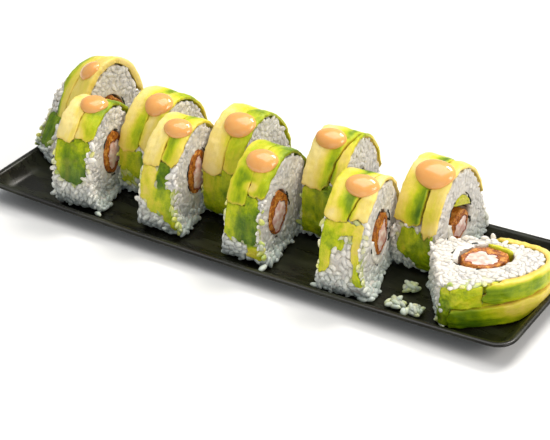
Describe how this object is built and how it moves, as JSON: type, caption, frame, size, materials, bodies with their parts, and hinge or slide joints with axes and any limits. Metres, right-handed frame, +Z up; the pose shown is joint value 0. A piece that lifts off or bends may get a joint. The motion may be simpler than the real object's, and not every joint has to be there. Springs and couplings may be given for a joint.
{
  "type": "uramaki roll on a long plate",
  "caption": "Uramaki roll cut in slices, rice outside, fried prawn inside, avocado strips and drops of sauce on top, standing on a long black plate with a sloped rim.",
  "frame": {"origin": "centre of the plate's outline, on the surface that the plate stands on", "axes": "+X along the plate, towards the slice that lies down; +Y towards the plate's back long edge; +Z up"},
  "size_m": [0.3, 0.1, 0.0609],
  "materials": {
    "plate": "satin black glaze, faint brush marks",
    "rice": "moist cooked rice, slightly see-through grains",
    "avocado": "moist avocado flesh, cream yellow to green",
    "avocado_stick": "moist avocado flesh",
    "prawn": "fried orange-brown crust, pale pink flesh at the cut",
    "cream_cheese": "soft white cheese",
    "sauce": "glossy peach-orange mayonnaise sauce"
  },
  "bodies": {
    "root": {"plate": "plate", "rice_01": "rice", "rice_02": "rice", "rice_03": "rice", "rice_04": "rice", "rice_05": "rice", "rice_06": "rice", "rice_07": "rice", "rice_08": "rice", "rice_09": "rice", "rice_10": "rice", "avocado_left_01": "avocado", "avocado_right_01": "avocado", "avocado_left_02": "avocado", "avocado_right_02": "avocado", "avocado_left_03": "avocado", "avocado_right_03": "avocado", "avocado_left_04": "avocado", "avocado_right_04": "avocado", "avocado_left_05": "avocado", "avocado_right_05": "avocado", "avocado_left_06": "avocado", "avocado_right_06": "avocado", "avocado_left_07": "avocado", "avocado_right_07": "avocado", "avocado_left_08": "avocado", "avocado_right_08": "avocado", "avocado_left_09": "avocado", "avocado_right_09": "avocado", "avocado_left_10": "avocado", "avocado_right_10": "avocado", "prawn_01": "prawn", "prawn_02": "prawn", "prawn_03": "prawn", "prawn_04": "prawn", "prawn_05": "prawn", "prawn_06": "prawn", "prawn_07": "prawn", "prawn_08": "prawn", "prawn_09": "prawn", "prawn_10": "prawn", "cream_cheese_08": "cream_cheese", "cream_cheese_09": "cream_cheese", "cream_cheese_10": "cream_cheese", "avocado_stick_09": "avocado_stick", "avocado_stick_10": "avocado_stick", "sauce_01": "sauce", "sauce_02": "sauce", "sauce_03": "sauce", "sauce_04": "sauce", "sauce_05": "sauce", "sauce_06": "sauce", "sauce_07": "sauce", "sauce_08": "sauce", "sauce_09": "sauce", "loose_rice_1": "rice", "loose_rice_2": "rice", "loose_rice_3": "rice"}
  },
  "joints": []
}
